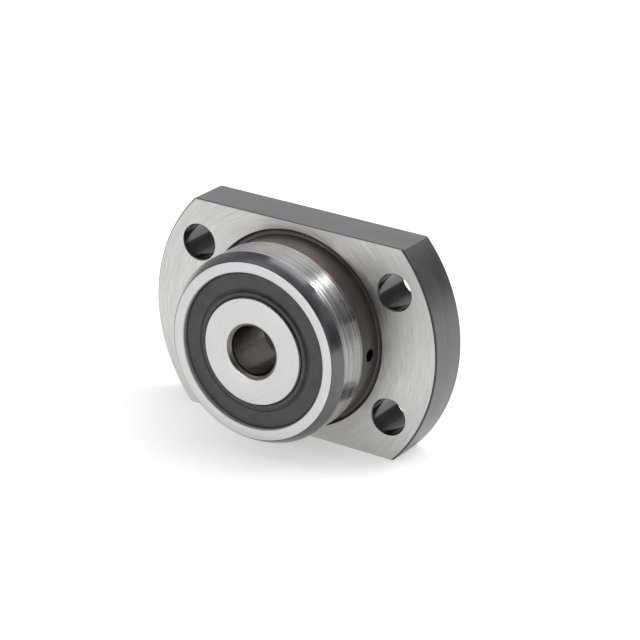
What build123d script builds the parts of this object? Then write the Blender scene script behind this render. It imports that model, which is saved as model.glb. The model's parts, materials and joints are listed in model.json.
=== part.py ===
from build123d import *
import os
from math import acos, cos, degrees, radians, sin

# Flanged double-row angular contact thrust ball bearing, standing on its lower flat.
# Millimetres. +Z is up, +Y runs along the bearing axis from the nose to the back, and +X runs
# along the flange's long way. The origin lies on the axis, in the plane of the flange's ground
# mounting face (y = 0).

# Main sizes
bore_dia = 6.0
spigot_dia = 24.0
flange_dia = 40.0
across_flats = 27.0
flange_thickness = 6.0
overall_width = 15.0

# Fixing holes, on a circle inside the rim, at this angle above and below the flange's long way
hole_dia = 4.5
hole_rim_distance = 4.0  # from the holes' centres to the rim
hole_angle = 30.0

# Outside of the ring, from the nose to the flange
lead_length = 1.5        # lead chamfer of the spigot, along the axis
lead_depth = 0.84        # and across it
land_length = 4.0        # ground seat of the spigot
undercut_depth = 0.2     # the stretch behind the seat isn't ground
undercut_ramp = 0.15
groove_width = 0.6       # run-out groove in the mounting face, outwards from the spigot
groove_depth = 0.4
groove_fillet = 0.2
groove_slope = 0.3
flange_break = 0.2       # turned edge break of the flange's rim
flat_break = 0.03        # deburred edges of the milled flats

# Lubrication holes, from the undercut to the gap between the rows
lube_hole_dia = 1.6
lube_hole_count = 3

# Rolling set, the same on both sides of the middle plane
ball_dia = 3.175
balls_per_row = 12
pitch_step = 0.25        # pitch circle outside the inner ring's shoulder
row_inset = 4.4          # from the rings' faces to the ball centres
contact_angle = 60.0
conformity = 0.52        # raceway radius over ball diameter
running_clearance = 0.02
rib_step = 0.35          # bore of the outer ring's rib outside the pitch circle
raceway_run_out = 12.0   # degrees from the radial direction where the raceways end
front_relief_step = 0.12 # front grease space inside the seal's seat: wide, so that the nose is light
rear_relief_step = 0.35  # rear grease space outside its raceway: narrow, within the flange
core_relief = 1.0        # of the inner ring between its raceways

# Inner ring halves
shoulder_dia = 13.5
inner_gap = 0.02         # closed when the halves are clamped on a shaft
entry_radius = 0.7       # rounded entry of the bore
joint_chamfer = 0.35     # in the bore, at the joint of the halves
land_chamfer = 0.2
shoulder_break = 0.15

# Seals and their seats
mouth_dia = 19.66
mouth_break = 0.1
seal_recess = 0.5        # of the seal's face behind the rings' faces
lip_recess = 0.25        # of its lip
seal_thickness = 0.92
seal_seat_width = 0.8    # axial width of the groove that holds the seal's bead
seal_seat_depth = 0.37
seal_clearance = 0.03
lip_clearance = 0.05
lip_width = 0.5
lip_slope = 0.14         # sides of the valley between lip and face
lip_valley = 0.12
lip_round = 0.1
lip_taper = 0.4          # back of the lip
crevice = 0.28           # bevel of the seal's face along the mouth

# Cages
pocket_clearance = 0.1
cage_bore_step = 0.25    # cage bore outside the pitch circle
cage_wall = 1.2
cage_wrap = 0.9          # how far the prongs reach past the balls' centres
cage_seal_gap = 0.83     # between the cage's ring and the seal
cage_bevel = 0.3
cage_round = 0.15

over = 1.0               # how far cutting profiles run past the faces

nose_length = overall_width - flange_thickness
middle_y = flange_thickness - overall_width / 2
half_width = overall_width / 2
row_offset = half_width - row_inset
ball_radius = ball_dia / 2
raceway_radius = conformity * ball_dia
mouth_radius = mouth_dia / 2
shoulder_radius = shoulder_dia / 2
pitch_radius = shoulder_radius + pitch_step
sides = {"front": -1, "rear": 1}


def half_plane(side):
    """Section plane of one half: x is the radius, y the distance from the middle plane."""
    return Plane(origin=(0, middle_y, 0), x_dir=(1, 0, 0), z_dir=(0, 0, side))


def row_plane(side):
    """Plane of one row's ball centres, facing away from the middle plane."""
    return Plane(origin=(0, middle_y + side * row_offset, 0), x_dir=(1, 0, 0), z_dir=(0, side, 0))


def raceway_centre(angle):
    """Centre of the raceway arc whose contact lies at this angle from the ball's centre."""
    offset = raceway_radius - ball_radius - running_clearance
    return Vector(pitch_radius - offset * cos(radians(angle)), row_offset - offset * sin(radians(angle)))


def raceway_angle(centre, radius):
    """Angle at which a raceway arc about this centre reaches the given bearing radius."""
    return degrees(acos((radius - centre.X) / raceway_radius))


# Outer ring: turned blank, milled flats, drilled holes, then the raceways and seal seats
spigot_radius = spigot_dia / 2
undercut_radius = spigot_radius - undercut_depth
flange_radius = flange_dia / 2
hole_circle_radius = flange_radius - hole_rim_distance
land_front = lead_length - nose_length
land_back = land_front + land_length
groove_radius = spigot_radius + groove_width
rib_radius = pitch_radius + rib_step
outer_centre = raceway_centre(-contact_angle)
rib_end = -raceway_angle(outer_centre, rib_radius)
seal_face = half_width - seal_recess
seal_back = seal_face - seal_thickness
seat_back = seal_back - seal_clearance
seat_front = seat_back + seal_seat_width
seat_radius = mouth_radius + seal_seat_depth
with BuildPart() as outer_ring:
    with BuildSketch(Plane.XY) as blank_section:
        with BuildLine():
            nose = Polyline(
                (rib_radius, -nose_length),
                (spigot_radius - lead_depth, -nose_length),
                (spigot_radius, land_front),
                (spigot_radius, land_back),
                (undercut_radius, land_back + undercut_ramp),
                (undercut_radius, groove_depth - groove_fillet),
            )
            corner_centre = (undercut_radius + groove_fillet, groove_depth - groove_fillet)
            corner = CenterArc(corner_centre, groove_fillet, 180, -90)
            rim = Polyline(
                corner @ 1,
                (groove_radius - groove_slope, groove_depth),
                (groove_radius, 0),
                (flange_radius - flange_break, 0),
                (flange_radius, flange_break),
                (flange_radius, flange_thickness - flange_break),
                (flange_radius - flange_break, flange_thickness),
                (rib_radius, flange_thickness),
            )
            Line(rim @ 1, nose @ 0)
        make_face()
    revolve(axis=Axis.Y)
    with BuildSketch(Plane.XZ.offset(-flange_thickness)) as milled_flats:
        Rectangle(flange_dia + over, flange_dia + over)
        Rectangle(flange_dia + over, across_flats, mode=Mode.SUBTRACT)
    extrude(amount=flange_thickness, mode=Mode.SUBTRACT)
    flat_edges = outer_ring.edges().filter_by(Axis.X).group_by(Axis.Z)
    chamfer(flat_edges[0] + flat_edges[-1], length=flat_break)
    with BuildSketch(Plane.XZ.offset(-flange_thickness)) as fixing_holes:
        for start in (hole_angle, -hole_angle):
            with PolarLocations(hole_circle_radius, 2, start_angle=start):
                Circle(hole_dia / 2)
    extrude(amount=flange_thickness, mode=Mode.SUBTRACT)
    for name, side in sides.items():
        with BuildSketch(half_plane(side)) as cavity_section:
            with BuildLine():
                track = CenterArc(outer_centre, raceway_radius, rib_end, -raceway_run_out - rib_end)
                relief_radii = {
                    "front": seat_radius - front_relief_step,
                    "rear": (track @ 1).X + rear_relief_step,
                }
                relief_radius = relief_radii[name]
                seat = Polyline(
                    track @ 1,
                    (relief_radius, (track @ 1).Y),
                    (relief_radius, seat_back),
                    (seat_radius, seat_back),
                    (seat_radius, seat_front),
                    (mouth_radius, seat_front),
                    (mouth_radius, half_width - mouth_break),
                    (mouth_radius + mouth_break, half_width),
                    (mouth_radius + mouth_break, half_width + over),
                    (rib_radius - over, half_width + over),
                    (rib_radius - over, (track @ 0).Y),
                    track @ 0,
                )
            make_face()
        revolve(axis=Axis.Y, mode=Mode.SUBTRACT)
    for index in range(lube_hole_count):
        angle = radians(index * 360 / lube_hole_count)
        outwards = (cos(angle), 0, sin(angle))
        with BuildSketch(Plane(origin=(0, middle_y, 0), x_dir=(0, 1, 0), z_dir=outwards)) as oil_hole:
            Circle(lube_hole_dia / 2)
        extrude(amount=spigot_radius + over, mode=Mode.SUBTRACT)
outer_ring.part.label = "outer_ring"

# Inner ring halves: each has its raceway on the side of the middle plane
bore_radius = bore_dia / 2
core_radius = pitch_radius - raceway_radius - core_relief
inner_centre = raceway_centre(180 - contact_angle)
shoulder_end = raceway_angle(inner_centre, shoulder_radius)
inner_halves = {}
for name, side in sides.items():
    with BuildPart() as inner_half:
        with BuildSketch(half_plane(side)) as inner_section:
            with BuildLine():
                track_sweep = 180 - raceway_run_out - shoulder_end
                track = CenterArc(inner_centre, raceway_radius, shoulder_end, track_sweep)
                entry_centre = (bore_radius + entry_radius, half_width - entry_radius)
                entry = CenterArc(entry_centre, entry_radius, 90, 90)
                Polyline(
                    track @ 0,
                    (shoulder_radius, half_width - shoulder_break),
                    (shoulder_radius - shoulder_break, half_width),
                    entry @ 0,
                )
                Polyline(
                    entry @ 1,
                    (bore_radius, inner_gap / 2 + joint_chamfer),
                    (bore_radius + joint_chamfer, inner_gap / 2),
                    (core_radius - land_chamfer, inner_gap / 2),
                    (core_radius, inner_gap / 2 + land_chamfer),
                    (core_radius, (track @ 1).Y - core_relief),
                    track @ 1,
                )
            make_face()
        revolve(axis=Axis.Y)
    inner_half.part.label = f"inner_ring_{name}"
    inner_halves[name] = inner_half

# Seals: a bead in the seat, a bevelled face and a raised lip round the inner ring
lip_radius = shoulder_radius + lip_clearance
lip_top = half_width - lip_recess
seals = {}
for name, side in sides.items():
    with BuildPart() as seal:
        with BuildSketch(half_plane(side)) as seal_section:
            with BuildLine():
                Polyline(
                    (lip_radius, seal_back + lip_taper),
                    (lip_radius, lip_top - lip_round),
                    (lip_radius + lip_round, lip_top),
                    (lip_radius + lip_width, lip_top),
                    (lip_radius + lip_width + lip_slope, seal_face - lip_valley),
                    (lip_radius + lip_width + 2 * lip_slope, seal_face - lip_valley),
                    (lip_radius + lip_width + 3 * lip_slope, seal_face),
                    (mouth_radius - crevice, seal_face),
                    (mouth_radius - seal_clearance, seat_front - seal_clearance),
                    (seat_radius - seal_clearance, seat_front - seal_clearance),
                    (seat_radius - seal_clearance, seal_back),
                    (lip_radius + lip_taper, seal_back),
                    close=True,
                )
            make_face()
        revolve(axis=Axis.Y)
    seal.part.label = f"seal_{name}"
    seals[name] = seal

# Cages: crown rings outside the pitch circle, their prongs towards the middle plane
pocket_radius = ball_radius + pocket_clearance
cage_inner = pitch_radius + cage_bore_step
cage_outer = cage_inner + cage_wall
cage_top = row_offset - cage_wrap
cage_end = seal_back - cage_seal_gap
cages = {}
for name, side in sides.items():
    with BuildPart() as cage:
        with BuildSketch(half_plane(side)) as cage_section:
            with BuildLine():
                Polyline(
                    (cage_inner, cage_top),
                    (cage_outer - cage_bevel, cage_top),
                    (cage_outer, cage_top + 2 * cage_bevel),
                    (cage_outer, cage_end - cage_round),
                    (cage_outer - cage_round, cage_end),
                    (cage_inner + cage_round, cage_end),
                    (cage_inner, cage_end - cage_round),
                    close=True,
                )
            make_face()
        revolve(axis=Axis.Y)
        with Locations(row_plane(side)):
            with PolarLocations(pitch_radius, balls_per_row):
                Sphere(pocket_radius, mode=Mode.SUBTRACT)
    cage.part.label = f"cage_{name}"
    cages[name] = cage

# Balls, one in each pocket
balls = []
for name, side in sides.items():
    for index in range(balls_per_row):
        with BuildPart() as ball:
            with Locations(row_plane(side)):
                with PolarLocations(pitch_radius, 1, start_angle=index * 360 / balls_per_row):
                    Sphere(ball_radius)
        ball.part.label = f"ball_{name}_{index + 1:02d}"
        balls.append(ball)

os.makedirs("parts", exist_ok=True)
pieces = [outer_ring, *inner_halves.values(), *seals.values(), *cages.values(), *balls]
for piece in pieces:
    export_step(piece.part, f"parts/{piece.part.label}.step")

contact_ratio = ball_radius * cos(radians(contact_angle)) / pitch_radius
print("cage turns per inner ring turn", round((1 - contact_ratio) / 2, 5))
print("ball turns in its pocket per inner ring turn", round((1 - contact_ratio**2) * pitch_radius / ball_dia, 5))
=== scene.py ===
import bpy
import bmesh
import json
from math import acos, cos, degrees, hypot, pi, radians, sin
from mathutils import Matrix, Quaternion, Vector


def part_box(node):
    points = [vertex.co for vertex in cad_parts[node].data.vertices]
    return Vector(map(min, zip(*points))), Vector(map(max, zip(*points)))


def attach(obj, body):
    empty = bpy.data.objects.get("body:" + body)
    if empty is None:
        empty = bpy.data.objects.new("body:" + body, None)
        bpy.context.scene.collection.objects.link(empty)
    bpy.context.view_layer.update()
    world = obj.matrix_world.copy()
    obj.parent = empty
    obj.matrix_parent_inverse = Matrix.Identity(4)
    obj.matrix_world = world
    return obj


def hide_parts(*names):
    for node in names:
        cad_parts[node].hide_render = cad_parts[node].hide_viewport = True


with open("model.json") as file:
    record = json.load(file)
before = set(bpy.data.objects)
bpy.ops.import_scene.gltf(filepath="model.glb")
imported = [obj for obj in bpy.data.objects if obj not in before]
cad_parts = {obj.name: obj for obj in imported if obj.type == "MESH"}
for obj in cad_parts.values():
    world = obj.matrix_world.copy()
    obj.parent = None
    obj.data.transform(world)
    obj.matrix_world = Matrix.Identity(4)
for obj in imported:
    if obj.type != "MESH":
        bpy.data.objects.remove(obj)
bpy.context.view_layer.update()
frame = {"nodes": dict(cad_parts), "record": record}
mounts = {mount["name"]: mount for mount in frame["record"]["mounts"]}
mm = 0.001
print("frame loaded:", len(frame["nodes"]), "nodes")

# The view of the photograph, and the pale studio round it: lengths in millimetres, angles in degrees
studio = {
    "azimuth": 31.24,
    "elevation": 22.40,
    "roll": 2.14,
    "distance": 315.11,
    "target": (3.825, 0.0, 2.078),
    "lens": 147.76,
    "clip": (10.0, 20000.0),
    "floorSize": 6000.0,
    "floorFront": 130.0,
    "floorColour": (0.80, 0.80, 0.80, 1),
    "floorRoughness": 0.9,
    "floorGlow": 0.42,
    "backdrop": 1.15,
    "lowAir": 0.70,
    "highAir": 0.50,
    "airHeights": (0.5, 0.75),
    "patches": [
        # the way to it, its inner and outer half angle, its radiance
        ((0.38, 0.80, 0.40), 18, 32, 0.23),
        ((0.15, -0.98, 0.10), 22, 38, 0.20),
        ((0.98, -0.06, 0.16), 8, 22, 0.20),
        ((0.61, -0.50, 0.62), 8, 24, 0.20),
        ((-0.50, -0.35, 0.80), 14, 30, 1.10),
        ((-0.30, -0.95, 0.10), 4, 9, 14.0),
    ],
    "lights": {
        # name: the way to it, how far off it hangs, its size, its radiance
        "overhead": ((0.05, 0.35, 1.0), 900, (700, 600), 2.2),
        "right": ((0.60, 0.22, 0.77), 700, (200, 160), 2.6),
        "behind": ((0.48, 0.51, 0.71), 700, (420, 110), 11.5),
    },
}


def linked(thing):
    bpy.context.scene.collection.objects.link(thing)
    return thing


def makeCamera(view):
    azimuth, elevation = radians(view["azimuth"]), radians(view["elevation"])
    back = Vector((sin(azimuth) * cos(elevation), -cos(azimuth) * cos(elevation), sin(elevation)))
    data = bpy.data.cameras.new("photoView")
    data.lens = view["lens"]
    data.clip_start, data.clip_end = [distance * mm for distance in view["clip"]]
    camera = linked(bpy.data.objects.new("photoView", data))
    camera.location = (Vector(view["target"]) + back * view["distance"]) * mm
    camera.rotation_mode = "QUATERNION"
    camera.rotation_quaternion = Quaternion(back, radians(view["roll"])) @ back.to_track_quat("Z", "Y")
    bpy.context.scene.camera = camera


# Small helpers for node trees
nodeGap = 180  # from one node to the next in the node editor


def addNode(tree, kind, **settings):
    node = tree.nodes.new(kind)
    node.location = (nodeGap * len(tree.nodes), 0)
    for name, value in settings.items():
        setattr(node, name, value)
    return node


def feed(tree, node, values):
    # values: what each socket takes, a plain value or the output of another node
    for socket, value in values.items():
        if isinstance(value, bpy.types.NodeSocket):
            tree.links.new(value, node.inputs[socket])
        else:
            node.inputs[socket].default_value = value


def mathNode(tree, operation, *values, clamp=False):
    node = addNode(tree, "ShaderNodeMath", operation=operation, use_clamp=clamp)
    feed(tree, node, dict(enumerate(values)))
    return node.outputs[0]


def swing(tree, base, mask, amount, clamp=False):
    # The base value, moved up and down as the mask leaves its middle
    offset = mathNode(tree, "SUBTRACT", mask, 0.5)
    return mathNode(tree, "MULTIPLY_ADD", offset, amount, base, clamp=clamp)


def spread(tree, value, low, high, newLow=0.0, newHigh=1.0):
    node = addNode(tree, "ShaderNodeMapRange")
    feed(tree, node, {"Value": value, "From Min": low, "From Max": high, "To Min": newLow, "To Max": newHigh})
    return node.outputs["Result"]


def blendColour(tree, factor, first, second):
    # A Mix node keeps its two colours in sockets 6 and 7, and puts out the colour at 2
    node = addNode(tree, "ShaderNodeMix", data_type="RGBA")
    feed(tree, node, {0: factor, 6: first, 7: second})
    return node.outputs[2]


def noiseAt(tree, vector, scale, detail, roughness):
    node = addNode(tree, "ShaderNodeTexNoise")
    feed(tree, node, {"Vector": vector, "Scale": scale, "Detail": detail, "Roughness": roughness})
    return node.outputs["Fac"]


def newGroup(name, inputs, outputs):
    group = bpy.data.node_groups.new(name, "ShaderNodeTree")
    for socket, value in inputs.items():
        made = group.interface.new_socket(socket, in_out="INPUT", socket_type="NodeSocketFloat")
        made.default_value = value
    for socket in outputs:
        group.interface.new_socket(socket, in_out="OUTPUT", socket_type="NodeSocketFloat")
    return group, addNode(group, "NodeGroupInput"), addNode(group, "NodeGroupOutput")


# Marks on the surfaces: each noise has its scale, detail and roughness
layNoises = {"Lay": (1.0, 3.0, 0.6), "Fine": (4.0, 2.0, 0.6), "Slow": (0.22, 1.0, 0.5)}
smudgeNoise = (1.0, 3.0, 0.55)
speckNoise = (14.0, 2.0, 0.7)
speckRange = (0.66, 0.74)  # the part of that noise from which a speck fades in
noiseRange = (0.3, 0.7)  # the part of a noise that a finish uses


def makeTurningLay():
    # Marks that run round the bearing axis: Across is streaks per millimetre, Along how fast they fade
    group, given, result = newGroup("turningLay", {"Across": 6.0, "Along": 3.0}, layNoises)
    split = addNode(group, "ShaderNodeSeparateXYZ")
    feed(group, split, {0: addNode(group, "ShaderNodeTexCoord").outputs["Object"]})
    x, y, z = split.outputs
    squares = mathNode(group, "ADD", mathNode(group, "MULTIPLY", x, x), mathNode(group, "MULTIPLY", z, z))
    radius = mathNode(group, "SQRT", squares)
    across = mathNode(group, "MULTIPLY", given.outputs["Across"], 1 / mm)
    turned = []
    for side in (x, z):
        share = mathNode(group, "DIVIDE", side, radius)
        turned.append(mathNode(group, "MULTIPLY", share, given.outputs["Along"]))
    join = addNode(group, "ShaderNodeCombineXYZ")
    outward = mathNode(group, "MULTIPLY", radius, across)
    feed(group, join, {
        0: mathNode(group, "ADD", outward, turned[0]),
        1: turned[1],
        2: mathNode(group, "MULTIPLY", y, across),
    })
    for mask, noise in layNoises.items():
        feed(group, result, {mask: noiseAt(group, join.outputs[0], *noise)})
    return group


def makeHandlingMarks():
    # Broad smudges and small specks, in no direction: Size is a smudge's size in millimetres
    group, given, result = newGroup("handlingMarks", {"Size": 3.0}, ("Smudge", "Speck"))
    scaled = addNode(group, "ShaderNodeVectorMath", operation="SCALE")
    feed(group, scaled, {
        0: addNode(group, "ShaderNodeTexCoord").outputs["Object"],
        "Scale": mathNode(group, "DIVIDE", 1 / mm, given.outputs["Size"]),
    })
    specks = noiseAt(group, scaled.outputs[0], *speckNoise)
    feed(group, result, {
        "Smudge": noiseAt(group, scaled.outputs[0], *smudgeNoise),
        "Speck": spread(group, specks, *speckRange),
    })
    return group


turningLay = makeTurningLay()
handlingMarks = makeHandlingMarks()


def newMaterial(name):
    material = bpy.data.materials.new(name)
    material.use_nodes = True
    return material, material.node_tree, material.node_tree.nodes["Principled BSDF"]


def placeMarks(tree, look):
    marks = addNode(tree, "ShaderNodeGroup", node_tree=handlingMarks)
    feed(tree, marks, {"Size": look["smudgeSize"]})
    return marks


def raisedBy(tree, height, look):
    bump = addNode(tree, "ShaderNodeBump")
    feed(tree, bump, {"Strength": look["bump"], "Distance": look["bumpDepth"] * mm, "Height": height})
    return bump.outputs[0]


def metalFinish(name, look):
    # A worked steel surface: colour and gloss vary with the tool's marks and with handling
    material, tree, shader = newMaterial(name)
    lay = addNode(tree, "ShaderNodeGroup", node_tree=turningLay)
    feed(tree, lay, {"Across": look["across"], "Along": look["along"]})
    marks = placeMarks(tree, look)
    streak = spread(tree, lay.outputs["Lay"], *noiseRange)
    slow = spread(tree, lay.outputs["Slow"], *noiseRange)
    tone = swing(tree, 0.5, streak, look["contrast"])
    tone = swing(tree, tone, slow, look["slowContrast"], clamp=True)
    dark, light = look["dark"] + (1,), look["light"] + (1,)
    specks = mathNode(tree, "MULTIPLY", marks.outputs["Speck"], look["specks"])
    gloss = swing(tree, look["roughness"], marks.outputs["Smudge"], look["smudge"])
    tangent = addNode(tree, "ShaderNodeTangent", direction_type="RADIAL", axis="Y")
    feed(tree, shader, {
        "Base Color": blendColour(tree, specks, blendColour(tree, tone, dark, light), dark),
        "Roughness": swing(tree, gloss, streak, look["roughContrast"], clamp=True),
        "Metallic": look["metallic"],
        "Specular IOR Level": look["specular"],
        "Anisotropic": look["anisotropic"],
        "Anisotropic Rotation": look["grainTurn"],
        "Tangent": tangent.outputs[0],
        "Normal": raisedBy(tree, lay.outputs[look["ridges"]], look),
    })
    return material


def mouldedFinish(name, look):
    # Rubber or plastic: handling alone varies its colour and gloss, and its specks stand proud
    material, tree, shader = newMaterial(name)
    marks = placeMarks(tree, look)
    tone = spread(tree, marks.outputs["Smudge"], *noiseRange)
    feed(tree, shader, {
        "Base Color": blendColour(tree, tone, look["dark"] + (1,), look["light"] + (1,)),
        "Roughness": swing(tree, look["roughness"], marks.outputs["Smudge"], look["smudge"]),
        "Normal": raisedBy(tree, marks.outputs["Speck"], look),
    })
    return material


# What the steel finishes share: smudgeSize and bumpDepth in millimetres, across in streaks per millimetre,
# grainTurn as a share of a full turn
plainSteel = dict(across=3.0, along=2.0, contrast=0.3, slowContrast=0.2, specks=0.1, smudge=0.1,
                  smudgeSize=3.0, roughContrast=0.05, metallic=1.0, specular=0.5, anisotropic=0.0,
                  grainTurn=0.25, bump=0.15, bumpDepth=0.02, ridges="Fine")
# What each one changes
steelLooks = {
    "groundFace": dict(dark=(0.46, 0.46, 0.46), light=(0.60, 0.60, 0.60), across=6.0, along=14.0,
                       slowContrast=0.15, specks=0.35, smudgeSize=1.0, roughness=0.42, roughContrast=0.06,
                       anisotropic=0.2, bump=0.2),
    "groundLand": dict(dark=(0.32, 0.32, 0.32), light=(0.64, 0.64, 0.64), across=4.2, along=1.0, contrast=1.0,
                       roughness=0.23, roughContrast=0.16, anisotropic=0.6, bump=0.7, ridges="Lay"),
    "leadChamfer": dict(dark=(0.09, 0.09, 0.095), light=(0.15, 0.15, 0.157), along=3.0, contrast=0.4,
                        specks=0.2, smudgeSize=2.0, roughness=0.20, roughContrast=0.06, anisotropic=0.2,
                        bump=0.2),
    "undercut": dict(dark=(0.062, 0.054, 0.051), light=(0.115, 0.100, 0.094), across=2.0, along=5.0,
                     contrast=0.5, slowContrast=0.4, specks=0.5, roughness=0.34, roughContrast=0.08,
                     metallic=0.3, anisotropic=0.3, bump=0.3),
    "flangeFace": dict(dark=(0.42, 0.42, 0.415), light=(0.62, 0.62, 0.61), across=5.5, along=7.0,
                       contrast=0.75, slowContrast=0.25, specks=0.15, smudge=0.14, smudgeSize=6.0,
                       roughness=0.34, roughContrast=0.12, anisotropic=0.75, bump=0.45),
    "milled": dict(dark=(0.19, 0.19, 0.192), light=(0.29, 0.29, 0.292), across=0.9, along=5.0,
                   slowContrast=0.3, specks=0.3, smudge=0.15, roughness=0.42, bump=0.2),
    "turnedRim": dict(dark=(0.10, 0.10, 0.102), light=(0.17, 0.17, 0.173), across=2.0, along=4.0,
                      contrast=0.4, slowContrast=0.3, specks=0.2, roughness=0.38, roughContrast=0.06,
                      anisotropic=0.1, bump=0.25),
    "drilled": dict(dark=(0.07, 0.07, 0.07), light=(0.11, 0.11, 0.11), roughness=0.13, roughContrast=0.04,
                    bump=0.1),
    "bored": dict(dark=(0.12, 0.118, 0.115), light=(0.17, 0.166, 0.162), roughness=0.22),
    "honed": dict(dark=(0.23, 0.225, 0.22), light=(0.34, 0.334, 0.327), roughness=0.24),
    "mouthWall": dict(dark=(0.46, 0.46, 0.46), light=(0.58, 0.58, 0.58), roughness=0.4, metallic=0.4),
    # Near black and dull: painted shade on the small edge breaks and on the nose's rounded edge
    "paintedShadeLine": dict(dark=(0.04, 0.04, 0.04), light=(0.07, 0.07, 0.07), along=3.0, roughness=0.5,
                     metallic=0.0, bump=0.1, specular=0.2),
    # The milled look made darker: painted shade in a band behind the front edge of each flat
    "edgeShade": dict(dark=(0.09, 0.09, 0.09), light=(0.14, 0.14, 0.14), across=0.9, along=5.0,
                      slowContrast=0.3, specks=0.3, smudge=0.15, roughness=0.42, bump=0.2),
    "track": dict(dark=(0.45, 0.45, 0.45), light=(0.62, 0.62, 0.62), across=6.0, specks=0.0, smudge=0.05,
                  roughness=0.16, roughContrast=0.04, anisotropic=0.3, bump=0.1),
}
steel = {name: metalFinish(name, {**plainSteel, **look}) for name, look in steelLooks.items()}
print("steel finishes made:", len(steel))

rubber = mouldedFinish("sealRubber", dict(
    dark=(0.024, 0.024, 0.025), light=(0.046, 0.046, 0.047), smudge=0.15, smudgeSize=1.6,
    roughness=0.55, bump=0.35, bumpDepth=0.03))
polyamide = mouldedFinish("cagePolyamide", dict(
    dark=(0.50, 0.45, 0.31), light=(0.60, 0.55, 0.40), smudge=0.15, smudgeSize=3.0,
    roughness=0.45, bump=0.2, bumpDepth=0.03))
print("rubber and polyamide made")

# Turned shapes: a section is a closed list of (radius, y, rounding) corners in millimetres
softening = {
    "steps": 4,
    "straightFrom": 178.0,  # degrees between its sides, above which a corner is left alone
    "mostOfSide": 0.45,  # the most of a side that its rounding may take
}
weldGap = 0.001  # millimetres, within which points are joined
sharpAngle = 30  # degrees, above which an edge stays sharp
faceWeight = 90  # how far the larger faces lead the shading, 50 is evenly


def softenCorners(corners, steps=softening["steps"]):
    points = []
    for index, (radius, y, rounding) in enumerate(corners):
        here = Vector((radius, y, 0))
        before = Vector(corners[index - 1][:2] + (0,)) - here
        after = Vector(corners[(index + 1) % len(corners)][:2] + (0,)) - here
        turn = before.angle(after)
        if rounding <= 0 or turn > radians(softening["straightFrom"]):
            points.append((radius, y))
            continue
        wanted = rounding / (sin(turn / 2) / cos(turn / 2))
        setback = min(wanted, before.length * softening["mostOfSide"], after.length * softening["mostOfSide"])
        toBefore, toAfter = before.normalized(), after.normalized()
        centre = here + (toBefore + toAfter).normalized() * (setback / cos(turn / 2))
        start = here + toBefore * setback - centre
        end = here + toAfter * setback - centre
        sweep = start.angle(end)
        for step in range(steps + 1):
            share = step / steps
            spoke = (start * sin((1 - share) * sweep) + end * sin(share * sweep)) / sin(sweep)
            points.append((centre.x + spoke.x, centre.y + spoke.y))
    return points


def bowed(start, end, rise, steps):
    # The points between two corners of a section, on a shallow curve to its outside
    run = Vector((end[0] - start[0], end[1] - start[1]))
    out = Vector((run.y, -run.x)).normalized()
    made = []
    for step in range(1, steps):
        share = step / steps
        spot = Vector(start) + run * share + out * rise * 4 * share * (1 - share)
        made.append((spot.x, spot.y, 0))
    return made


def makePiece(name, verts, faces):
    mesh = bpy.data.meshes.new(name)
    mesh.from_pydata(verts, [], faces)
    return linked(bpy.data.objects.new(name, mesh))


def welded(piece):
    work = bmesh.new()
    work.from_mesh(piece.data)
    bmesh.ops.remove_doubles(work, verts=work.verts, dist=weldGap * mm)
    bmesh.ops.recalc_face_normals(work, faces=work.faces)
    work.to_mesh(piece.data)
    work.free()
    return piece


def spin(name, points, segments):
    # A closed ring from (radius, y) points, turned about the bearing axis
    verts, faces = [], []
    count = len(points)
    for turn in range(segments):
        angle = 2 * pi * turn / segments
        verts += [(radius * cos(angle) * mm, y * mm, radius * sin(angle) * mm) for radius, y in points]
        here = turn * count
        following = (turn + 1) % segments * count
        for index in range(count):
            after = (index + 1) % count
            faces.append((here + index, here + after, following + after, following + index))
    return welded(makePiece(name, verts, faces))


def drillBit(name, origin, direction, rings, segments):
    # rings: (distance along the direction, radius), in millimetres; its ends are closed
    direction = Vector(direction).normalized()
    across = direction.orthogonal().normalized()
    beside = direction.cross(across)
    verts, faces = [], []
    for along, radius in rings:
        for turn in range(segments):
            angle = 2 * pi * turn / segments
            spot = Vector(origin) + direction * along + (across * cos(angle) + beside * sin(angle)) * radius
            verts.append(spot * mm)
    last = (len(rings) - 1) * segments
    for low in range(0, last, segments):
        high = low + segments
        for turn in range(segments):
            following = (turn + 1) % segments
            faces.append((low + turn, low + following, high + following, high + turn))
    faces.append(tuple(range(segments)))
    faces.append(tuple(range(last, last + segments)))
    return welded(makePiece(name, verts, faces))


def joined(name, pieces):
    work = bmesh.new()
    for piece in pieces:
        work.from_mesh(piece.data)
        bpy.data.objects.remove(piece)
    mesh = bpy.data.meshes.new(name)
    work.to_mesh(mesh)
    work.free()
    return linked(bpy.data.objects.new(name, mesh))


def applyModifiers(piece):
    bpy.context.view_layer.update()
    shown = piece.evaluated_get(bpy.context.evaluated_depsgraph_get())
    mesh = bpy.data.meshes.new_from_object(shown)
    piece.modifiers.clear()
    piece.data = mesh


def carve(piece, cutter, operation):
    step = piece.modifiers.new(operation.lower(), "BOOLEAN")
    step.operation = operation
    step.solver = "EXACT"
    step.object = cutter
    applyModifiers(piece)
    bpy.data.objects.remove(cutter)


def paint(piece, finishes, rule):
    # Each face takes the finish that the rule names for its middle and its normal, in millimetres
    names = list(finishes)
    piece.data.materials.clear()
    for name in names:
        piece.data.materials.append(finishes[name])
    for face in piece.data.polygons:
        face.material_index = names.index(rule(face.center / mm, face.normal))


def finishPiece(piece, body, nodes):
    piece.data.shade_smooth()
    piece.data.set_sharp_from_angle(angle=radians(sharpAngle))
    weighted = piece.modifiers.new("weightedNormals", "WEIGHTED_NORMAL")
    weighted.keep_sharp = True
    weighted.weight = faceWeight
    applyModifiers(piece)
    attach(piece, body)
    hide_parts(*nodes)


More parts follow.
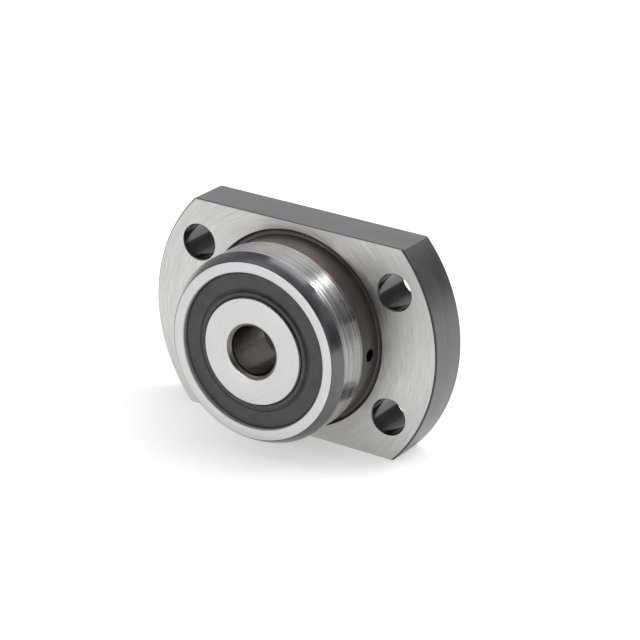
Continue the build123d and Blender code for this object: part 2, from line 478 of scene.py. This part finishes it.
# Sizes that every piece shares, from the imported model. The mounting face is the plane y = 0.
ringLow, ringHigh = [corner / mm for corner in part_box("outer_ring")]
noseY, backY, rimRadius, flatHeight = ringLow.y, ringHigh.y, ringHigh.x, ringHigh.z
middleY = (noseY + backY) / 2
halfWidth = (backY - noseY) / 2
sides = {"front": -1, "rear": 1}
spigotRadius = mounts["spigot"]["dims"]["r_mm"]
boreRadius = mounts["bore"]["dims"]["r_mm"]
holeGrid = mounts["flange_holes"]["dims"]
holeRadius = holeGrid["hole_r_mm"]
holePlaces = [
    (sideX * holeGrid["spacing_x_mm"] / 2, sideZ * holeGrid["spacing_y_mm"] / 2)
    for sideX in (-1, 1) for sideZ in (-1, 1)
]
ballLow, ballHigh = [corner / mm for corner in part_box("ball_rear_01")]
rowMiddle = (ballLow + ballHigh) / 2
rolling = {
    "ballRadius": (ballHigh.y - ballLow.y) / 2,
    "pitchRadius": hypot(rowMiddle.x, rowMiddle.z),
    "rowOffset": rowMiddle.y - middleY,
    "conformity": 0.52,
    "clearance": 0.02,
    "contactAngle": 60.0,
    "runOut": 12.0,
    "steps": 14,
}
rolling["trackRadius"] = 2 * rolling["ballRadius"] * rolling["conformity"]
seat = {
    "mouthRadius": 9.83,
    "seatRadius": 10.20,
    "seatFront": 6.85,
    "seatBack": 6.05,
    "sealFace": 7.0,
    "shoulderRadius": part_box("inner_ring_rear")[1].x / mm,
}


def trackCentre(angle):
    offset = rolling["trackRadius"] - rolling["ballRadius"] - rolling["clearance"]
    radius = rolling["pitchRadius"] - offset * cos(radians(angle))
    return (radius, rolling["rowOffset"] - offset * sin(radians(angle)))


def trackAngle(centre, radius):
    return degrees(acos((radius - centre[0]) / rolling["trackRadius"]))


def trackArc(centre, startAngle, endAngle):
    # A raceway's section, as corners without rounding
    radius, steps = rolling["trackRadius"], rolling["steps"]
    made = []
    for step in range(steps + 1):
        angle = radians(startAngle + (endAngle - startAngle) * step / steps)
        made.append((centre[0] + radius * cos(angle), centre[1] + radius * sin(angle), 0))
    return made


def onSide(corners, sideName):
    # Sections are drawn as (radius, distance from the middle plane) and set to the front or the rear
    return [(radius, middleY + sides[sideName] * along, rounding) for radius, along, rounding in corners]


# The outer ring with its flange
ringShape = {
    "segments": 360,
    "noseEdge": 11.16,
    "leadLength": 1.5,
    "leadBow": 0.06,
    "leadSteps": 5,
    "landLength": 4.0,
    "undercut": 11.80,
    "undercutRamp": 0.12,
    "grooveBottom": 0.4,
    "grooveFillet": 0.2,
    "grooveInner": 12.3,
    "grooveMouth": 12.6,
    "rimBreak": 0.2,
    "flatBreak": 0.03,
    "flatLine": 0.45,
    "ribRadius": 7.35,
    "reliefRadii": {"front": 10.08, "rear": 8.94},
    "mouthBreak": 0.1,
    "holeBreak": 0.12,
    "holeSegments": 96,
    "oilRadius": 0.8,
    "oilHoles": 3,
    "oilReach": (5.0, 13.0),
    "oilSegments": 48,
    "cutterMargin": 1,
    # roundings
    "fineRound": 0.03,
    "landRound": 0.04,
    "rimRound": 0.05,
    "grooveRound": 0.08,
    "noseRound": 0.1,
}


def ringInside(shape, sideName):
    # From the rib, along the raceway and the seal's seat, to the mouth
    centre = trackCentre(-rolling["contactAngle"])
    track = trackArc(centre, -trackAngle(centre, shape["ribRadius"]), -rolling["runOut"])
    relief, lip, fine = shape["reliefRadii"][sideName], shape["mouthBreak"], shape["fineRound"]
    return onSide(track + [
        (relief, track[-1][1], 0),
        (relief, seat["seatBack"], 0),
        (seat["seatRadius"], seat["seatBack"], 0),
        (seat["seatRadius"], seat["seatFront"], 0),
        (seat["mouthRadius"], seat["seatFront"], 0),
        (seat["mouthRadius"], halfWidth - lip, fine),
        (seat["mouthRadius"] + lip, halfWidth, fine),
    ], sideName)


def ringOutside(shape):
    # From the nose, over the land, the undercut and the flange, to the back
    fine, edge, lip = shape["fineRound"], shape["rimRound"], shape["rimBreak"]
    landFront = noseY + shape["leadLength"]
    landBack = landFront + shape["landLength"]
    lead = bowed((shape["noseEdge"], noseY), (spigotRadius, landFront), shape["leadBow"], shape["leadSteps"])
    return [
        (shape["noseEdge"], noseY, shape["noseRound"]),
        *lead,
        (spigotRadius, landFront, shape["landRound"]),
        (spigotRadius, landBack, fine),
        (shape["undercut"], landBack + shape["undercutRamp"], fine),
        (shape["undercut"], shape["grooveBottom"], shape["grooveFillet"]),
        (shape["grooveInner"], shape["grooveBottom"], shape["grooveRound"]),
        (shape["grooveMouth"], 0, fine),
        (rimRadius - lip, 0, edge),
        (rimRadius, lip, edge),
        (rimRadius, backY - lip, edge),
        (rimRadius - lip, backY, edge),
    ]


def makeFlatBlock(shape):
    # What the two flats leave standing. Its line behind the front edge parts the milled finish from a darker
    # band of painted shade.
    margin, lip = shape["cutterMargin"], shape["flatBreak"]
    top = [
        (noseY - margin, flatHeight - lip), (0, flatHeight - lip), (lip, flatHeight),
        (shape["flatLine"], flatHeight), (backY - lip, flatHeight),
        (backY, flatHeight - lip), (backY + margin, flatHeight - lip),
    ]
    outline = top + [(y, -z) for y, z in reversed(top)]
    reach = rimRadius + margin
    verts = [Vector((x, y, z)) * mm for x in (-reach, reach) for y, z in outline]
    count = len(outline)
    faces = [tuple(range(count)), tuple(range(count, 2 * count))]
    faces += [(k, (k + 1) % count, count + (k + 1) % count, count + k) for k in range(count)]
    return welded(makePiece("flatBlock", verts, faces))


def makeBits(shape):
    # The fixing holes with their broken edges, and the lubrication holes
    bits = []
    margin, lip = shape["cutterMargin"], shape["holeBreak"]
    mouth = holeRadius + lip + margin
    rings = [(-margin, mouth), (lip, holeRadius), (backY - lip, holeRadius), (backY + margin, mouth)]
    for x, z in holePlaces:
        bits.append(drillBit("fixingBit", (x, 0, z), (0, 1, 0), rings, shape["holeSegments"]))
    rings = [(along, shape["oilRadius"]) for along in shape["oilReach"]]
    for index in range(shape["oilHoles"]):
        angle = 2 * pi * index / shape["oilHoles"]
        outward = (cos(angle), 0, sin(angle))
        bits.append(drillBit("oilBit", (0, middleY, 0), outward, rings, shape["oilSegments"]))
    return joined("bits", bits)


def makeOuterRing(shape):
    section = ringInside(shape, "front") + ringOutside(shape) + list(reversed(ringInside(shape, "rear")))
    made = spin("outerRing", softenCorners(section), shape["segments"])
    carve(made, makeFlatBlock(shape), "INTERSECT")
    carve(made, makeBits(shape), "DIFFERENCE")
    return made


# How near its plane or circle the middle of a face lies to take that finish, in millimetres
ringBands = {
    "plane": 0.01,
    "lead": 0.02,
    "oilWall": 0.02,
    "noseFace": 0.03,
    "flat": 0.04,
    "seatWall": 0.05,
    "noseEdge": (0.08, 0.09),
    "mouthWall": 0.12,
    "holeWall": 0.2,
    # how steep a wall stands: the most of its normal that points along y, or outward
    "holeTilt": 0.95,
    "oilTilt": 0.3,
    # within this radius, a face turned this squarely along y isn't counted to a lubrication hole
    "oilSquare": (10.5, 0.999),
    # where the raceways and the undercut end
    "trackRadius": 9.2,
    "trackHalf": 4.0,
    "undercutEnd": 0.5,
}


def inFixingHole(middle, normal):
    reach = holeRadius + ringBands["holeWall"]
    near = any(hypot(middle.x - x, middle.z - z) < reach for x, z in holePlaces)
    return near and abs(normal.y) < ringBands["holeTilt"]


def inOilHole(middle, normal):
    radius = hypot(middle.x, middle.z)
    outward = (normal.x * middle.x + normal.z * middle.z) / radius
    within = ringShape["ribRadius"] < radius < ringShape["undercut"] - ringBands["oilWall"]
    central = abs(middle.y - middleY) < ringShape["oilRadius"] + ringBands["oilWall"]
    squareEnd, squareTilt = ringBands["oilSquare"]
    square = radius <= squareEnd and abs(normal.y) >= squareTilt
    return within and central and abs(outward) < ringBands["oilTilt"] and not square


def insideFinish(radius, along):
    # Raceways, grease spaces and seal seats, or None on the outside and on the end faces
    if radius < ringBands["trackRadius"] and abs(along - middleY) < ringBands["trackHalf"]:
        return "track"
    ends = ringBands["noseFace"]
    if radius < seat["seatRadius"] + ringBands["seatWall"] and noseY + ends < along < backY - ends:
        return "mouthWall" if abs(radius - seat["mouthRadius"]) < ringBands["mouthWall"] else "bored"
    return None


def spigotFinish(radius, along):
    # The nose, the lead chamfer, the land and the undercut, or None on the flange
    plane = ringBands["plane"]
    inward, deep = ringBands["noseEdge"]
    landFront = noseY + ringShape["leadLength"]
    # The nose's rounded outer edge is painted near black: painted shade along that edge
    if along < noseY + deep and radius > ringShape["noseEdge"] - inward:
        return "paintedShadeLine"
    if along < noseY + ringBands["noseFace"]:
        return "groundFace"
    if along < landFront - ringBands["lead"]:
        return "leadChamfer"
    if radius < spigotRadius + plane and along < landFront + ringShape["landLength"] + plane:
        return "groundLand"
    if radius < ringShape["grooveMouth"] - plane and along < ringBands["undercutEnd"]:
        return "undercut"
    return None


def flangeFinish(along, height):
    plane = ringBands["plane"]
    if along < plane or along > backY - plane:
        return "flangeFace"
    if height > flatHeight - ringBands["flat"]:
        # The small break at a flat's front edge is painted near black: painted shade
        if along < ringShape["flatBreak"]:
            return "paintedShadeLine"
        # A band behind the flat's front edge is painted darker: painted shade
        return "edgeShade" if along < ringShape["flatLine"] else "milled"
    # The rim's small front break is painted near black: painted shade
    return "paintedShadeLine" if along < ringShape["rimBreak"] else "turnedRim"


def ringFinish(middle, normal):
    if inFixingHole(middle, normal):
        return "drilled"
    if inOilHole(middle, normal):
        return "honed"
    radius, along = hypot(middle.x, middle.z), middle.y
    return insideFinish(radius, along) or spigotFinish(radius, along) or flangeFinish(along, abs(middle.z))


ring = makeOuterRing(ringShape)
paint(ring, steel, ringFinish)
finishPiece(ring, "outer", ["outer_ring"])
print("outer ring:", len(ring.data.polygons), "faces")

# The split inner ring
innerShape = {
    "segments": 240,
    "cornerSteps": 8,
    "gap": 0.01,
    "entry": 0.7,
    "jointChamfer": 0.35,
    "coreRadius": 4.35,
    "coreRun": 1.0,
    "coreBreak": 0.2,
    "shoulderBreak": 0.15,
    "jointRound": 0.03,
    "edgeRound": 0.05,
}
# As ringBands, with where the shoulder and the raceway begin
innerBands = {
    "face": 0.02,
    "bore": 0.03,
    "shoulder": 0.17,
    "core": 0.3,
    "shoulderFrom": 4.6,
    "trackFrom": 5.0,
}
innerFinishes = {
    "groundFace": steel["groundFace"],
    "track": steel["track"],
    "undercut": steel["undercut"],
    "bore": steel["honed"],
    "entry": steel["bored"],
    "shoulder": steel["leadChamfer"],
}


def innerFinish(middle, normal):
    radius = hypot(middle.x, middle.z)
    along = abs(middle.y - middleY)
    if along > halfWidth - innerBands["face"]:
        return "groundFace"
    if radius > seat["shoulderRadius"] - innerBands["shoulder"] and along > innerBands["shoulderFrom"]:
        return "shoulder"
    if radius > innerBands["trackFrom"]:
        return "track"
    if radius > innerShape["coreRadius"] - innerBands["core"]:
        return "undercut"
    return "bore" if radius < boreRadius + innerBands["bore"] else "entry"


def makeInnerHalf(shape, sideName):
    contactSide = 180 - rolling["contactAngle"]
    centre = trackCentre(contactSide)
    shoulder, core, gap = seat["shoulderRadius"], shape["coreRadius"], shape["gap"]
    track = trackArc(centre, trackAngle(centre, shoulder), 180 - rolling["runOut"])
    corners = track + [
        (core, track[-1][1] - shape["coreRun"], 0),
        (core, gap + shape["coreBreak"], 0),
        (core - shape["coreBreak"], gap, 0),
        (boreRadius + shape["jointChamfer"], gap, shape["jointRound"]),
        (boreRadius, gap + shape["jointChamfer"], shape["edgeRound"]),
        (boreRadius, halfWidth, shape["entry"]),
        (shoulder - shape["shoulderBreak"], halfWidth, shape["edgeRound"]),
        (shoulder, halfWidth - shape["shoulderBreak"], shape["edgeRound"]),
    ]
    points = softenCorners(onSide(corners, sideName), shape["cornerSteps"])
    return spin("innerRing" + sideName.capitalize(), points, shape["segments"])


for sideName in sides:
    half = makeInnerHalf(innerShape, sideName)
    paint(half, innerFinishes, innerFinish)
    finishPiece(half, "inner_" + sideName, ["inner_ring_" + sideName])
print("inner ring halves made")

# The seals
sealShape = {
    "segments": 240,
    "lipRadius": 6.80,
    "lipTop": 7.25,
    "lipWidth": 0.5,
    "slope": 0.14,
    "valley": 0.12,
    "crevice": 0.28,
    "back": 6.08,
    "taper": 0.4,
    "clearance": 0.03,
    # roundings
    "seatRound": 0.03,
    "softRound": 0.05,
    "faceRound": 0.06,
    "lipRound": 0.08,
}


def makeSeal(shape, sideName):
    lip, back, top, face = shape["lipRadius"], shape["back"], shape["lipTop"], seat["sealFace"]
    lipEnd, slope, valley = lip + shape["lipWidth"], shape["slope"], face - shape["valley"]
    mouth = seat["mouthRadius"] - shape["clearance"]
    rim = seat["seatRadius"] - shape["clearance"]
    rimTop = seat["seatFront"] - shape["clearance"]
    soft, lipRound = shape["softRound"], shape["lipRound"]
    corners = [
        (lip, back + shape["taper"], soft),
        (lip, top, lipRound),
        (lipEnd, top, lipRound),
        (lipEnd + slope, valley, soft),
        (lipEnd + 2 * slope, valley, soft),
        (lipEnd + 3 * slope, face, shape["faceRound"]),
        (seat["mouthRadius"] - shape["crevice"], face, lipRound),
        (mouth, rimTop, shape["seatRound"]),
        (rim, rimTop, soft),
        (rim, back, soft),
        (lip + shape["taper"], back, soft),
    ]
    points = softenCorners(onSide(corners, sideName))
    return spin("seal" + sideName.capitalize(), points, shape["segments"])


for sideName in sides:
    seal = makeSeal(sealShape, sideName)
    seal.data.materials.append(rubber)
    finishPiece(seal, "outer", ["seal_" + sideName])
print("seals made")

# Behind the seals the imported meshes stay, and only take their finish
hiddenFinishes = {"ball": steel["track"], "cage": polyamide}
for name, node in frame["nodes"].items():
    kind = name.split("_")[0]
    if kind in hiddenFinishes:
        node.data.materials.clear()
        node.data.materials.append(hiddenFinishes[kind])
print("balls and cages finished")


# Floor, lights and backdrop
def makeFloor(room):
    size, front, low = room["floorSize"] * mm, -room["floorFront"] * mm, ringLow.z * mm
    corners = [(-size, front, low), (size, front, low), (size, size, low), (-size, size, low)]
    floor = makePiece("floor", corners, [(0, 1, 2, 3)])
    paper, tree, shader = newMaterial("paleFloor")
    feed(tree, shader, {
        "Base Color": room["floorColour"],
        "Roughness": room["floorRoughness"],
        "Specular IOR Level": 0.0,
        "Emission Color": (1, 1, 1, 1),
        "Emission Strength": room["floorGlow"],
    })
    floor.data.materials.append(paper)


def makeLights(room):
    for name, (towards, distance, extent, radiance) in room["lights"].items():
        data = bpy.data.lights.new(name, "AREA")
        data.shape = "RECTANGLE"
        data.size, data.size_y = extent[0] * mm, extent[1] * mm
        data.energy = radiance * pi * data.size * data.size_y
        lamp = linked(bpy.data.objects.new(name, data))
        lamp.location = Vector(towards).normalized() * distance * mm
        lamp.rotation_mode = "QUATERNION"
        lamp.rotation_quaternion = Vector(towards).to_track_quat("Z", "Y")


def makeAir(room):
    # The camera sees an even backdrop. The steel mirrors air that darkens upwards, with soft patches in it.
    world = bpy.data.worlds.new("studioAir")
    bpy.context.scene.world = world
    world.use_nodes = True
    tree = world.node_tree
    outward = addNode(tree, "ShaderNodeTexCoord").outputs["Generated"]
    height = addNode(tree, "ShaderNodeSeparateXYZ")
    feed(tree, height, {0: outward})
    strength = spread(tree, height.outputs[2], *room["airHeights"], room["lowAir"], room["highAir"])
    for towards, inner, outer, radiance in room["patches"]:
        nearness = addNode(tree, "ShaderNodeVectorMath", operation="DOT_PRODUCT")
        feed(tree, nearness, {0: outward, 1: Vector(towards).normalized()})
        mask = spread(tree, nearness.outputs["Value"], cos(radians(outer)), cos(radians(inner)))
        strength = spread(tree, mask, 0.0, 1.0, strength, radiance)
    mirrored = tree.nodes["Background"]
    feed(tree, mirrored, {"Color": (1, 1, 1, 1), "Strength": strength})
    seen = addNode(tree, "ShaderNodeBackground")
    feed(tree, seen, {"Color": (1, 1, 1, 1), "Strength": room["backdrop"]})
    mix = addNode(tree, "ShaderNodeMixShader")
    isSeen = addNode(tree, "ShaderNodeLightPath").outputs["Is Camera Ray"]
    feed(tree, mix, {0: isSeen, 1: mirrored.outputs[0], 2: seen.outputs[0]})
    feed(tree, tree.nodes["World Output"], {"Surface": mix.outputs[0]})


makeCamera(studio)
makeFloor(studio)
makeLights(studio)
makeAir(studio)
bpy.context.scene.view_settings.view_transform = "Standard"
print("studio made")
